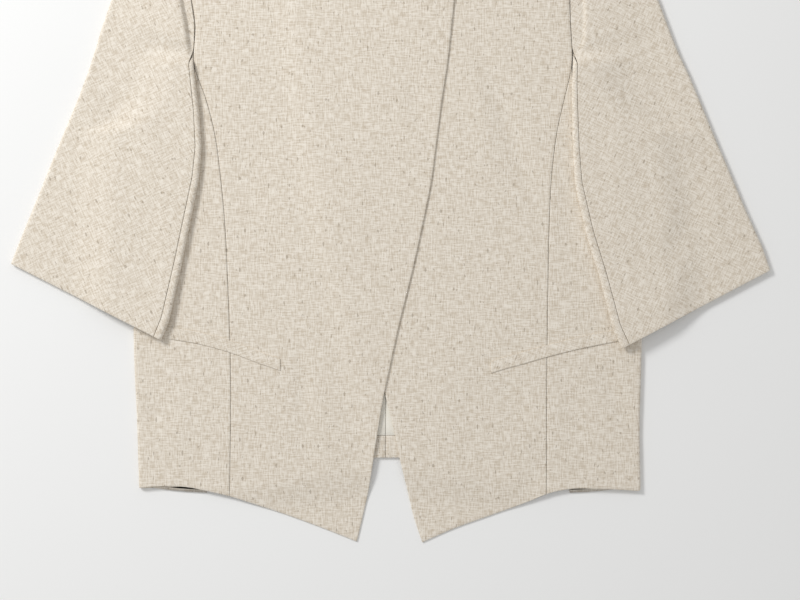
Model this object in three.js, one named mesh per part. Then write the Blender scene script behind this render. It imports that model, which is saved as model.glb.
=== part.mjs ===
// A cropped double-breasted blazer laid flat on its back, the right front over the left and the
// sleeves turned down over the body. Each piece of cloth is a thin wall, one node for each piece cut.
// Millimetres. +X towards the wearer's left, +Y towards the neck, +Z up, and the cloth rests on Z = 0.
// Before the last step X = 0 is the centre line and Y = 0 is the height of the side hem.
import * as THREE from "three";

// Cloth and how the layers lie on each other.
const CLOTH = 1.5;
const LINING = 1.0;
const SEAM_GAP = 0.3;
const FRONT_CLEARANCE = 0.45;
const BACK_Z = CLOTH / 2;
const LINING_Z = CLOTH + SEAM_GAP + LINING / 2;
const FRONT_Z = LINING_Z + LINING / 2 + FRONT_CLEARANCE + CLOTH / 2;
const SHOULDER_Z = CLOTH + SEAM_GAP + CLOTH / 2;
const LAYER = CLOTH + SEAM_GAP;
const OVERLAP_LIFT = 1.9;
const LAPEL_ROOM = { from: 508, to: 528, lift: 2 };
const STEP_DOWN = { from: 14, over: 30 };
const CLIMB = { from: 17, over: 45 };

// Landmarks of the cut.
const UNDERARM = 343;
const PITCH = 403;
const NECK = { out: 75, y: 605 };
const CENTRE_BACK_NECK = 586;
const CENTRE_BACK_HEM = 29.5;
const BREAK = { y: 540, right: 66, left: -75 };
const SHOULDER_ROLL = 18;
const CENTRE_BACK_SEAM = -4.3;
const SIDE_BACK_WRAP = 22;
const TURN_UP = 21;
const LINING_OUT = 150;
const FRONT_DROP = { from: 8, over: 36 };

// Front edges: X of each front's edge, from the point of the hem up to the break of the lapel.
const EDGE = [
  { y: -51.5, right: -32, left: 31 },
  { y: -30, right: -26.9, left: 23.6 },
  { y: 0, right: -20.2, left: 16.3 },
  { y: 30, right: -15.6, left: 9 },
  { y: 90, right: -5.8, left: -4.6 },
  { y: 160, right: 9.4, left: -19 },
  { y: 250, right: 30.4, left: -41 },
  { y: 340, right: 45.5, left: -57 },
  { y: 405, right: 54.7, left: -66 },
  { y: 468, right: 61.5, left: -72 },
  { y: 540, right: 66, left: -75 },
];

// Seam between front and side panel, then the armhole from the pitch up: distance from the centre line.
const SEAM = [
  { y: -8, right: 153.6, left: 150.1 },
  { y: 100, right: 152.6, left: 150.2 },
  { y: 200, right: 155.5, left: 151.5 },
  { y: 250, right: 158, left: 152.5 },
  { y: 300, right: 162.5, left: 155 },
  { y: 345, right: 169, left: 160.7 },
  { y: 375, right: 177, left: 167.5 },
  { y: 403, right: 187, left: 173.8 },
  { y: 447, right: 186.8, left: 172.9 },
  { y: 468, right: 190, left: 172.3 },
  { y: 500, right: 196, left: 177 },
  { y: 530, right: 203.5, left: 190 },
  { y: 561.5, right: 213, left: 211 },
];

// Side fold of the body: distance from the centre line.
const FOLD = [
  { y: 0, right: 240.5, left: 240.2 },
  { y: 50, right: 242, left: 239.4 },
  { y: 150, right: 245.8, left: 241.5 },
  { y: 250, right: 244, left: 241 },
  { y: 343, right: 240, left: 240 },
];

// Front hem: height above the side hem, against distance from the centre line.
const HEM = [
  { out: 31, right: -51.5, left: -52 },
  { out: 60, right: -40, left: -39.2 },
  { out: 100, right: -25.2, left: -24.8 },
  { out: 135, right: -13.5, left: -11.8 },
  { out: 150, right: -8.6, left: -5.5 },
  { out: 175, right: -2.6, left: -0.4 },
  { out: 195, right: 1.2, left: -0.4 },
  { out: 217, right: 2.1, left: -1.1 },
  { out: 241, right: 0.5, left: -2.7 },
];

// Rows of the fronts from hem to shoulder: heights at the side seam and at the front edge.
const FRONT_ROWS = [
  { seam: -7, edge: -51.5 },
  { seam: 5, edge: -26 },
  { seam: 18, edge: -2 },
  { seam: 32, edge: 21 },
  { seam: 75, edge: 70 },
  { seam: 125, edge: 120 },
  { seam: 175, edge: 170 },
  { seam: 225, edge: 220 },
  { seam: 275, edge: 270 },
  { seam: 315, edge: 310 },
  { seam: 345, edge: 345 },
  { seam: 375, edge: 380 },
  { seam: 403, edge: 410 },
  { seam: 425, edge: 440 },
  { seam: 447, edge: 468 },
  { seam: 468, edge: 490 },
  { seam: 500, edge: 508 },
  { seam: 530, edge: 528 },
  { seam: 561.5, edge: 540 },
];
const SIDE_ROWS = FRONT_ROWS.filter((row) => row.seam <= PITCH);

// Sleeves from cuff to shoulder. A row gives the two ends of one section laid flat: the inner fold or,
// above the pitch, the armhole seam, and the outer fold. Ridge and rise are the roll beside the armhole.
const SLEEVE = {
  right: [
    { innerX: 218.4, innerY: 142, outerX: 363.3, outerY: 215.3, lift: 1.8 },
    { innerX: 211, innerY: 160, outerX: 356, outerY: 234, lift: 1.8 },
    { innerX: 199.3, innerY: 213, outerX: 338.6, outerY: 276.5, lift: 0 },
    { innerX: 191.3, innerY: 252.7, outerX: 324, outerY: 313, lift: 0 },
    { innerX: 182.6, innerY: 295.7, outerX: 309, outerY: 349, lift: 0 },
    { innerX: 180.1, innerY: 324.5, outerX: 299, outerY: 373, lift: 0 },
    { innerX: 182.2, innerY: 358, outerX: 289.5, outerY: 399, lift: 0 },
    { innerX: 185.5, innerY: 385, outerX: 282, outerY: 422, lift: 0 },
    { innerX: 187.8, innerY: 403, outerX: 277, outerY: 439, lift: 0 },
    { innerY: 425, outerX: 271, outerY: 456, ridge: 6, rise: 4.5 },
    { innerY: 447, outerX: 267, outerY: 468, ridge: 10, rise: 4.5 },
    { innerY: 468, outerX: 262, outerY: 487, ridge: 11, rise: 4 },
    { innerY: 500, outerX: 254.5, outerY: 509, ridge: 10, rise: 2.5 },
    { innerY: 530, outerX: 245, outerY: 531, ridge: 8, rise: 1 },
    { innerY: 559, outerX: 231, outerY: 548.5, ridge: 4, rise: 0 },
  ],
  left: [
    { innerX: 221.7, innerY: 134, outerX: 364.5, outerY: 209, lift: 1.8 },
    { innerX: 213, innerY: 152, outerX: 357, outerY: 231, lift: 1.8 },
    { innerX: 199.7, innerY: 203.5, outerX: 341, outerY: 266, lift: 0 },
    { innerX: 187, innerY: 245, outerX: 325, outerY: 304, lift: 0 },
    { innerX: 176.8, innerY: 291, outerX: 309.5, outerY: 340, lift: 0 },
    { innerX: 174.8, innerY: 324.5, outerX: 297, outerY: 371, lift: 0 },
    { innerX: 174, innerY: 358, outerX: 286.5, outerY: 396, lift: 0 },
    { innerX: 173.7, innerY: 385, outerX: 277, outerY: 416, lift: 0 },
    { innerX: 174.6, innerY: 403, outerX: 270.5, outerY: 432, lift: 0 },
    { innerY: 425, outerX: 263, outerY: 452, ridge: 12, rise: 2 },
    { innerY: 447, outerX: 257, outerY: 468, ridge: 14, rise: 2 },
    { innerY: 468, outerX: 250.5, outerY: 485, ridge: 14, rise: 2 },
    { innerY: 500, outerX: 243, outerY: 509, ridge: 12, rise: 1 },
    { innerY: 530, outerX: 235, outerY: 531, ridge: 8, rise: 0.5 },
    { innerY: 559, outerX: 228, outerY: 548, ridge: 4, rise: 0 },
  ],
};
const SLEEVE_OPENING = { inner: 4.8, outer: 3.8, over: 60 };
const TOP_SLEEVE_ACROSS = [0.05, 0.1, 0.18, 0.35, 0.55, 0.75, 0.9];
const UNDER_SLEEVE_ACROSS = [0.72, 0.6, 0.48, 0.36, 0.24, 0.14];
const BACK_SEAM_IN = { most: 28, share: 0.35 };

// Lapels, in distances along the roll line from the break and outwards from it.
const LAPEL = { start: 6, tip: 119, tipWidth: 42, notch: 129, notchWidth: 22, gorge: 136, belly: 0.75 };
const COLLAR_ROOM = 1;
const COLLAR_CORNER = { along: 143, width: 34 };

// Collar from the gorge seam round to the centre back: its neck edge, its outer edge, and how far
// it has come off the shoulder, from 0 on the front to 1 behind the neck.
const COLLAR = [
  { neckX: 68, neckY: 602.5, outerX: 97, outerY: 580, behind: 0 },
  { neckX: 75.3, neckY: 607, outerX: 108, outerY: 594, behind: 0 },
  { neckX: 73, neckY: 610, outerX: 102, outerY: 609, behind: 0.4 },
  { neckX: 62, neckY: 600, outerX: 80, outerY: 616, behind: 1 },
  { neckX: 40, neckY: 592, outerX: 45, outerY: 620, behind: 1 },
  { neckX: 20, neckY: 588, outerX: 22, outerY: 621, behind: 1 },
];

// Pocket welts: height of the upper edge against distance from the centre line, and their depth.
const WELT = [
  { out: 97, right: 121.5, left: 121.8 },
  { out: 106, right: 124.6, left: 124.8 },
  { out: 125, right: 131, left: 130 },
  { out: 150, right: 140.5, left: 137.2 },
  { out: 180, right: 149, left: 144.8 },
  { out: 219, right: 155.8, left: 152.6 },
];
const WELT_DEPTH = 11.3;
const WELT_CLOTH = 1;
const WELT_ENDS = { right: { front: 105, back: 217 }, left: { front: 96.5, back: 219 } };

const BUTTON = { out: 36, y: 495, radius: 11, thick: 3.4, bevel: 0.7, hole: 1.1, holeOut: 2.6 };

const CLOTH_FINISH = { color: 0xe3dacb, roughness: 0.95, metalness: 0 };
const LINING_FINISH = { color: 0xeeeade, roughness: 0.6, metalness: 0 };
const BUTTON_FINISH = { color: 0xcfc3ad, roughness: 0.35, metalness: 0 };

const SIDES = { right: -1, left: 1 };

const mix = (a, b, t) => a + (b - a) * t;
const point = (x, y) => ({ x, y });

// 0 up to 0, 1 from 1 on, and a soft step between.
function soft(t) {
  const s = Math.min(Math.max(t, 0), 1);
  return s * s * (3 - 2 * s);
}

// A table read as a smooth curve: column "value" against column "by", whose rows rise.
function reader(table, by, value) {
  const last = table.length - 1;
  const slope = (i) => {
    const a = table[Math.max(i - 1, 0)];
    const b = table[Math.min(i + 1, last)];
    return (b[value] - a[value]) / (b[by] - a[by]);
  };
  return (at) => {
    const found = table.findIndex((row) => row[by] > at);
    const i = Math.max((found < 0 ? last : found) - 1, 0);
    const length = table[i + 1][by] - table[i][by];
    const t = Math.min(Math.max((at - table[i][by]) / length, 0), 1);
    const start = table[i][value];
    const end = table[i + 1][value];
    const bend = (1 - t) * slope(i) * length - t * slope(i + 1) * length;
    return mix(start, end, soft(t)) + t * (1 - t) * bend;
  };
}

const curves = {};
for (const name of Object.keys(SIDES)) {
  curves[name] = {
    edge: reader(EDGE, "y", name),
    seam: reader(SEAM, "y", name),
    fold: reader(FOLD, "y", name),
    hem: reader(HEM, "out", name),
    welt: reader(WELT, "out", name),
  };
}

// Evenly spaced points from one to the other, both ends included.
function line(from, to, steps) {
  return Array.from({ length: steps + 1 }, (_, i) => {
    return point(mix(from.x, to.x, i / steps), mix(from.y, to.y, i / steps));
  });
}

// The grid between four edges, in rows from bottom to top: bottom and top run across, left and right up.
function patch({ bottom, top, left, right }) {
  const across = bottom.length - 1;
  const up = left.length - 1;
  const blend = (axis, i, j) => {
    const u = j / across;
    const v = i / up;
    const sides = mix(left[i][axis], right[i][axis], u);
    const ends = mix(bottom[j][axis], top[j][axis], v);
    const corners = mix(
      mix(bottom[0][axis], bottom[across][axis], u),
      mix(top[0][axis], top[across][axis], u),
      v,
    );
    return sides + ends - corners;
  };
  return left.map((_, i) => bottom.map((__, j) => point(blend("x", i, j), blend("y", i, j))));
}

const lifted = (grid, height) => grid.map((row) => row.map(({ x, y }) => new THREE.Vector3(x, y, height(x, y))));

// The closed wall of a given thickness round a grid of points on its middle surface.
function wall(grid, thickness) {
  const rows = grid.length;
  const columns = grid[0].length;
  const positions = [];
  for (const face of [1, -1]) {
    grid.forEach((row, i) => {
      row.forEach((p, j) => {
        const across = row[Math.min(j + 1, columns - 1)].clone().sub(row[Math.max(j - 1, 0)]);
        const up = grid[Math.min(i + 1, rows - 1)][j].clone().sub(grid[Math.max(i - 1, 0)][j]);
        const normal = across.cross(up).normalize();
        positions.push(...p.clone().addScaledVector(normal, (face * thickness) / 2).toArray());
      });
    });
  }
  const at = (face, i, j) => (face * rows + i) * columns + j;
  const faces = [];
  const quad = (a, b, c, d) => faces.push(a, b, c, a, c, d);
  for (let i = 0; i < rows - 1; i += 1) {
    for (let j = 0; j < columns - 1; j += 1) {
      quad(at(0, i, j), at(0, i, j + 1), at(0, i + 1, j + 1), at(0, i + 1, j));
      quad(at(1, i, j), at(1, i + 1, j), at(1, i + 1, j + 1), at(1, i, j + 1));
    }
    quad(at(0, i, 0), at(0, i + 1, 0), at(1, i + 1, 0), at(1, i, 0));
    quad(at(0, i + 1, columns - 1), at(0, i, columns - 1), at(1, i, columns - 1), at(1, i + 1, columns - 1));
  }
  for (let j = 0; j < columns - 1; j += 1) {
    quad(at(0, 0, j + 1), at(0, 0, j), at(1, 0, j), at(1, 0, j + 1));
    quad(at(0, rows - 1, j), at(0, rows - 1, j + 1), at(1, rows - 1, j + 1), at(1, rows - 1, j));
  }
  const geometry = new THREE.BufferGeometry();
  geometry.setAttribute("position", new THREE.Float32BufferAttribute(positions, 3));
  geometry.setIndex(faces);
  geometry.computeVertexNormals();
  return geometry;
}

// --- Heights of the middle surfaces -------------------------------------------------------------

const backHem = (x) => (CENTRE_BACK_HEM / 2) * (1 + Math.cos((Math.PI * Math.min(Math.abs(x), 241)) / 241));
const neckLine = (x) => mix(CENTRE_BACK_NECK, NECK.y, (x / NECK.out) ** 2);

// How far a point lies below the shoulder seam, square to it.
function belowShoulder(x, y) {
  const tip = { out: 212, y: 561.5 };
  const rise = (NECK.y - tip.y) / (tip.out - NECK.out);
  return (tip.y + (tip.out - Math.abs(x)) * rise - y) / Math.hypot(1, rise);
}

// The fronts lie on the back, come down to it at the shoulder, and past its hem sink to the table.
function frontHeight(x, y) {
  const pastHem = backHem(x) - y - FRONT_DROP.from;
  const onBack = mix(FRONT_Z, BACK_Z, soft(pastHem / FRONT_DROP.over));
  return mix(SHOULDER_Z, onBack, soft(belowShoulder(x, y) / SHOULDER_ROLL));
}

// How far inside the left front's edge or roll line a point lies; negative past it.
function insideUnderFront(x, y) {
  if (y < BREAK.y) return x - curves.left.edge(y);
  const along = { x: NECK.out - BREAK.left, y: NECK.y - BREAK.y };
  return ((x - BREAK.left) * along.y - (y - BREAK.y) * along.x) / Math.hypot(along.x, along.y);
}

// The right front lies on the left one, and steps down to the back beyond its edge.
function overHeight(x, y) {
  const room = LAPEL_ROOM.lift * soft((y - LAPEL_ROOM.from) / (LAPEL_ROOM.to - LAPEL_ROOM.from));
  const onTop = soft(1 + (insideUnderFront(x, y) + STEP_DOWN.from) / STEP_DOWN.over);
  return frontHeight(x, y) + (OVERLAP_LIFT + room) * onTop;
}

const heights = { right: overHeight, left: frontHeight };

// --- Body ---------------------------------------------------------------------------------------

const shoulderTip = (name) => point(SIDES[name] * curves[name].seam(561.5), 561.5);
const neckPoint = (name) => point(SIDES[name] * NECK.out, NECK.y);
const breakPoint = (name) => point(BREAK[name], BREAK.y);

const SHOULDER_STEPS = 4;
const ROLL_STEPS = 7;

function frontPanel(name) {
  const { seam, edge, hem } = curves[name];
  const side = SIDES[name];
  const seamOut = (y) => seam(y) - SEAM_GAP / 2;
  const steps = SHOULDER_STEPS + ROLL_STEPS;
  const tip = side * edge(EDGE[0].y);
  const bottom = Array.from({ length: steps + 1 }, (_, i) => {
    const out = mix(seamOut(0), tip, i / steps);
    return point(side * out, hem(out));
  });
  const left = FRONT_ROWS.map((row) => point(side * seamOut(row.seam), row.seam));
  const right = FRONT_ROWS.map((row) => point(edge(row.edge), row.edge));
  left[0] = bottom[0];
  right[0] = bottom[steps];
  const shoulder = line(left.at(-1), neckPoint(name), SHOULDER_STEPS);
  const top = [...shoulder, ...line(neckPoint(name), breakPoint(name), ROLL_STEPS).slice(1)];
  return wall(lifted(patch({ bottom, top, left, right }), heights[name]), CLOTH);
}

// The lower scoop of the armhole, a quarter of an ellipse from the pitch out to the underarm.
function scoop(name, steps, pitchOut) {
  const reach = curves[name].fold(UNDERARM) - pitchOut;
  return Array.from({ length: steps + 1 }, (_, i) => {
    const turn = (i / steps) * (Math.PI / 2);
    const out = pitchOut + reach * (1 - Math.cos(turn));
    return point(SIDES[name] * out, PITCH - (PITCH - UNDERARM) * Math.sin(turn));
  });
}

const backSeamOut = (name, y) => curves[name].seam(y) + SIDE_BACK_WRAP * soft((PITCH - y) / 160);

const SIDE_STEPS = 5;
const FOLD_TURNS = [0.25, 0.5, 0.75];

// One layer of a side panel, from its seam out to where the side fold starts to turn.
function sideLayer(name, seamOut, hemHeight, turn) {
  const side = SIDES[name];
  const foldOut = (y) => curves[name].fold(y) - turn;
  const left = SIDE_ROWS.map((row) => point(side * seamOut(row.seam), row.seam));
  const climb = (row) => (row.seam - SIDE_ROWS[0].seam) / (PITCH - SIDE_ROWS[0].seam);
  const right = SIDE_ROWS.map((row) => {
    const y = mix(0, UNDERARM, climb(row));
    return point(side * foldOut(y), y);
  });
  const bottom = Array.from({ length: SIDE_STEPS + 1 }, (_, i) => {
    const out = mix(seamOut(0), foldOut(0), i / SIDE_STEPS);
    return point(side * out, hemHeight(out));
  });
  const top = scoop(name, SIDE_STEPS, seamOut(PITCH)).map((p) => point(p.x, p.y));
  left[0] = bottom[0];
  right[0] = bottom[SIDE_STEPS];
  top[SIDE_STEPS] = right.at(-1);
  return patch({ bottom, top, left, right });
}

function sidePanel(name) {
  const radius = (FRONT_Z - BACK_Z) / 2;
  const turn = radius + CLOTH / 2;
  const { seam, hem } = curves[name];
  const front = sideLayer(name, (y) => seam(y) + SEAM_GAP / 2, hem, turn);
  const back = sideLayer(name, (y) => backSeamOut(name, y) + SEAM_GAP / 2, backHem, turn);
  const upper = lifted(front, frontHeight);
  const lower = lifted(back, () => BACK_Z);
  const grid = upper.map((row, i) => {
    const from = row.at(-1);
    const to = lower[i].at(-1);
    const arc = FOLD_TURNS.map((t) => {
      const p = from.clone().lerp(to, (1 - Math.cos(Math.PI * t)) / 2);
      p.x += SIDES[name] * radius * Math.sin(Math.PI * t);
      return p;
    });
    return [...row, ...arc, ...[...lower[i]].reverse()];
  });
  return wall(grid, CLOTH);
}

const BACK_STEPS = 4;

function backPanel(name) {
  const side = SIDES[name];
  const seamOut = (y) => backSeamOut(name, y) - SEAM_GAP / 2;
  const centre = (y) => mix(CENTRE_BACK_SEAM, 0, y / CENTRE_BACK_NECK) + (side * SEAM_GAP) / 2;
  const steps = SHOULDER_STEPS + BACK_STEPS;
  const bottom = Array.from({ length: steps + 1 }, (_, i) => {
    const x = mix(side * seamOut(0), centre(0), i / steps);
    return point(x, backHem(x));
  });
  const left = FRONT_ROWS.map((row) => point(side * seamOut(row.seam), row.seam));
  const right = FRONT_ROWS.map((_, i) => {
    const y = mix(CENTRE_BACK_HEM, CENTRE_BACK_NECK, i / (FRONT_ROWS.length - 1));
    return point(centre(y), y);
  });
  left[0] = bottom[0];
  left[1] = point(left[1].x, mix(left[0].y, left[3].y, 1 / 3));
  left[2] = point(left[2].x, mix(left[0].y, left[3].y, 2 / 3));
  right[0] = bottom[steps];
  const neck = Array.from({ length: BACK_STEPS + 1 }, (_, i) => {
    const x = mix(side * NECK.out, centre(CENTRE_BACK_NECK), i / BACK_STEPS);
    return point(x, neckLine(x));
  });
  right[right.length - 1] = neck[BACK_STEPS];
  const top = [...line(left.at(-1), neckPoint(name), SHOULDER_STEPS), ...neck.slice(1)];
  return wall(lifted(patch({ bottom, top, left, right }), () => BACK_Z), CLOTH);
}

const HEM_STEPS = 6;

function hemTurnUp(name) {
  const side = SIDES[name];
  const inner = CENTRE_BACK_SEAM + (side * SEAM_GAP) / 2;
  const grid = [0, 1].map((v) =>
    Array.from({ length: HEM_STEPS + 1 }, (_, i) => {
      const x = mix(side * LINING_OUT, inner, i / HEM_STEPS);
      return point(x, backHem(x) + v * TURN_UP);
    }),
  );
  return wall(lifted(grid, () => LINING_Z), LINING);
}

const LINING_ROWS = 6;
const LINING_TOP = [
  { out: 150, y: 550 },
  { out: 110, y: 564 },
  { out: 66, y: 578 },
  { out: 52, y: 592 },
  { out: 30, y: 587 },
  { out: 14, y: 585.5 },
];

function backLining(name) {
  const side = SIDES[name];
  const low = CENTRE_BACK_SEAM + (side * SEAM_GAP) / 2;
  const top = LINING_TOP.map((row) => point(side * row.out, row.y));
  top.push(point((side * SEAM_GAP) / 2, CENTRE_BACK_NECK - 1));
  const steps = top.length - 1;
  const bottom = top.map((_, i) => {
    const x = mix(side * LINING_OUT, low, i / steps);
    return point(x, backHem(x) + TURN_UP + SEAM_GAP);
  });
  const left = line(bottom[0], top[0], LINING_ROWS);
  const right = line(bottom[steps], top[steps], LINING_ROWS);
  return wall(lifted(patch({ bottom, top, left, right }), () => LINING_Z), LINING);
}

// --- Sleeves ------------------------------------------------------------------------------------

// Distance from the centre line of the body's outline: side fold, armhole scoop, armhole seam.
function outlineOut(name, y) {
  const { fold, seam } = curves[name];
  if (y <= UNDERARM) return fold(Math.max(y, 0));
  if (y >= PITCH) return seam(y);
  const turn = Math.asin((PITCH - y) / (PITCH - UNDERARM));
  return seam(PITCH) + (fold(UNDERARM) - seam(PITCH)) * (1 - Math.cos(turn));
}

// The lower layer of a sleeve lies on the body, and past its outline comes down to the table.
function restHeight(name, x, y, lift) {
  const beyond = Math.abs(x) - outlineOut(name, y);
  const onBody = (1 - soft((beyond - CLIMB.from) / CLIMB.over)) * (1 - soft((y - PITCH) / 20));
  return mix(BACK_Z, FRONT_Z + LAYER + lift, onBody);
}

// One section of a sleeve laid flat, from its inner end across to its outer fold.
function section(name, row) {
  const side = SIDES[name];
  const open = row.innerX === undefined;
  const innerX = open ? curves[name].seam(row.innerY) + SEAM_GAP / 2 : row.innerX;
  const inner = point(side * innerX, row.innerY);
  const outer = point(side * row.outerX, row.outerY);
  const width = Math.hypot(outer.x - inner.x, outer.y - inner.y);
  const place = (across) => point(mix(inner.x, outer.x, across / width), mix(inner.y, outer.y, across / width));
  const { inner: most, outer: least, over } = SLEEVE_OPENING;
  const opening = (across) => (open ? least : mix(most, least, soft(across / over)));
  const low = (across) => {
    const p = place(across);
    return open ? BACK_Z : restHeight(name, p.x, p.y, row.lift);
  };
  const atSeam = frontHeight(inner.x, inner.y);
  const roll = (across) => {
    if (!open) return 0;
    const up = soft((across - row.ridge + 2) / 4) * (1 - soft((across - row.ridge - 2) / (width - row.ridge)));
    return row.rise * up;
  };
  const high = (across) => {
    const flat = low(across) + opening(across);
    const start = open ? mix(atSeam, flat, soft(across / Math.min(20, width / 2))) : flat;
    return start + roll(across);
  };
  const at = (across, z) => {
    const p = place(across);
    return new THREE.Vector3(p.x, p.y, z);
  };
  return {
    open,
    width,
    ridge: row.ridge,
    lower: (across) => at(across, low(across)),
    upper: (across) => at(across, high(across)),
    backSeam: width - Math.min(BACK_SEAM_IN.most, BACK_SEAM_IN.share * width),
  };
}

// Points round a fold that joins the upper and lower layers; outward is 1 at the outer fold, -1 at the inner.
function foldRound(cut, across, outward) {
  const upper = cut.upper(across);
  const lower = cut.lower(across);
  const radius = (upper.z - lower.z) / 2;
  const tip = cut.upper(across + outward * radius);
  return [0, ...FOLD_TURNS, 1].map((t) => {
    const p = upper.clone().lerp(tip, Math.sin(Math.PI * t));
    p.z = lower.z + radius * (1 + Math.cos(Math.PI * t));
    return p;
  });
}

function topSleeve(name) {
  const grid = SLEEVE[name].map((row) => {
    const cut = section(name, row);
    const turn = SLEEVE_OPENING.outer / 2 + CLOTH / 2;
    const across = TOP_SLEEVE_ACROSS.map((share) => share * cut.width);
    if (cut.open) {
      across[0] = SEAM_GAP / 2;
      across[1] = Math.min(cut.ridge - 2, 0.1 * cut.width + 2);
      across[2] = Math.min(cut.ridge + 2, 0.3 * cut.width);
    }
    const round = foldRound(cut, cut.width - turn, 1);
    const under = mix(cut.backSeam, cut.width - turn, 0.5);
    return [
      ...across.map((a) => cut.upper(Math.min(a, cut.width - turn - 1))),
      ...round,
      cut.lower(under),
      cut.lower(cut.backSeam + SEAM_GAP / 2),
    ];
  });
  return wall(grid, CLOTH);
}

function underSleeve(name) {
  const grid = SLEEVE[name].map((row) => {
    const cut = section(name, row);
    const turn = SLEEVE_OPENING.inner / 2 + CLOTH / 2;
    const start = cut.backSeam - SEAM_GAP / 2;
    const across = [start, ...UNDER_SLEEVE_ACROSS.map((share) => Math.min(share * cut.width, start * share + 1))];
    const flat = across.map((a) => cut.lower(a));
    if (cut.open) {
      const room = across.at(-1);
      const lip = [5, 4, 3, 2, 1, 0].map((i) => cut.lower(SEAM_GAP / 2 + (i / 6) * room));
      return [...flat, ...lip];
    }
    const round = foldRound(cut, turn, -1).reverse();
    return [...flat, ...round, cut.upper(TOP_SLEEVE_ACROSS[0] * cut.width - SEAM_GAP)];
  });
  return wall(grid, CLOTH);
}

// --- Lapels, collar, pockets and buttons ----------------------------------------------------------

// A point on a front's lapel, from its distances along the roll line and outwards from it.
function onLapel(name, along, width) {
  const from = breakPoint(name);
  const to = neckPoint(name);
  const length = Math.hypot(to.x - from.x, to.y - from.y);
  const step = point((to.x - from.x) / length, (to.y - from.y) / length);
  const out = SIDES[name];
  return point(from.x + step.x * along + out * step.y * width, from.y + step.y * along - out * step.x * width);
}

const rollLength = (name) => Math.hypot(NECK.out * SIDES[name] - BREAK[name], NECK.y - BREAK.y);

// Distances along the roll line are given for the right lapel, and stretch to the left one's length.
const stretch = (name, along) => (along * rollLength(name)) / rollLength("right");

const LAPEL_STEPS = 6;

function lapel(name) {
  const { start, tip, tipWidth, notch, notchWidth, gorge, belly } = LAPEL;
  const at = (along, width) => onLapel(name, stretch(name, along), width);
  const steps = Array.from({ length: LAPEL_STEPS + 1 }, (_, i) => i / LAPEL_STEPS);
  const bottom = steps.map((u) => at(mix(start, gorge, u), 0));
  const top = steps.map((u) => at(mix(start + 2, tip, u), 3 + (tipWidth - 3) * u ** belly));
  const left = line(bottom[0], top[0], 4);
  const right = [
    at(gorge, 0),
    at(mix(gorge, notch, 0.5), notchWidth / 2),
    at(notch, notchWidth),
    at(mix(notch, tip, 0.5), mix(notchWidth, tipWidth, 0.5)),
    at(tip, tipWidth),
  ];
  return wall(lifted(patch({ bottom, top, left, right }), (x, y) => heights[name](x, y) + LAYER + SEAM_GAP), CLOTH);
}

function collar() {
  const columns = [];
  for (const name of Object.keys(SIDES)) {
    const side = SIDES[name];
    const height = (p, behind) => mix(heights[name](p.x, p.y) + LAYER + COLLAR_ROOM, BACK_Z, behind);
    const seat = (p, behind) => new THREE.Vector3(p.x, p.y, height(p, behind));
    const end = [
      onLapel(name, stretch(name, LAPEL.gorge) + SEAM_GAP * 2, 0),
      onLapel(name, stretch(name, mix(LAPEL.gorge, LAPEL.notch, 0.6)) + SEAM_GAP * 2, LAPEL.notchWidth * 0.6),
      onLapel(name, stretch(name, LAPEL.notch) + SEAM_GAP * 4, LAPEL.notchWidth),
      onLapel(name, stretch(name, COLLAR_CORNER.along), COLLAR_CORNER.width),
    ];
    const half = [end.map((p) => seat(p, 0))];
    for (const row of COLLAR) {
      const neck = point(side * row.neckX, row.neckY);
      const outer = point(side * row.outerX, row.outerY);
      half.push(line(neck, outer, 3).map((p) => seat(p, row.behind)));
    }
    columns.push(half);
  }
  const [right, left] = columns;
  const middle = line(point(0, CENTRE_BACK_NECK + 1), point(0, 621), 3).map(({ x, y }) => new THREE.Vector3(x, y, BACK_Z));
  const along = [...right, middle, ...left.reverse()];
  return wall(along.map((column) => [...column].reverse()), CLOTH);
}

const WELT_STEPS = 8;

function pocketWelt(name) {
  const side = SIDES[name];
  const { front, back } = WELT_ENDS[name];
  const grid = [0, 1].map((v) =>
    Array.from({ length: WELT_STEPS + 1 }, (_, i) => {
      const out = mix(back, front, i / WELT_STEPS);
      return point(side * out, curves[name].welt(out) - WELT_DEPTH * (1 - v));
    }),
  );
  const height = (x, y) => heights[name](x, y) + CLOTH / 2 + SEAM_GAP + WELT_CLOTH / 2;
  return wall(lifted(grid, height), WELT_CLOTH);
}

// A plain four-hole button, face up.
function button() {
  const { radius, thick, bevel, hole, holeOut } = BUTTON;
  const shape = new THREE.Shape().absarc(0, 0, radius - bevel, 0, Math.PI * 2);
  for (const [x, y] of [[1, 1], [-1, 1], [-1, -1], [1, -1]]) {
    shape.holes.push(new THREE.Path().absarc(x * holeOut, y * holeOut, hole, 0, Math.PI * 2, true));
  }
  const depth = thick - 2 * bevel;
  const bevels = { bevelEnabled: true, bevelThickness: bevel, bevelSize: bevel, bevelSegments: 1 };
  return new THREE.ExtrudeGeometry(shape, { depth, curveSegments: 12, ...bevels }).translate(0, 0, bevel);
}

// --- The blazer -----------------------------------------------------------------------------------

const garment = new THREE.Group();

function add(name, geometry, finish) {
  const mesh = new THREE.Mesh(geometry, new THREE.MeshStandardMaterial(finish));
  mesh.name = name;
  garment.add(mesh);
  return mesh;
}

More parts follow.
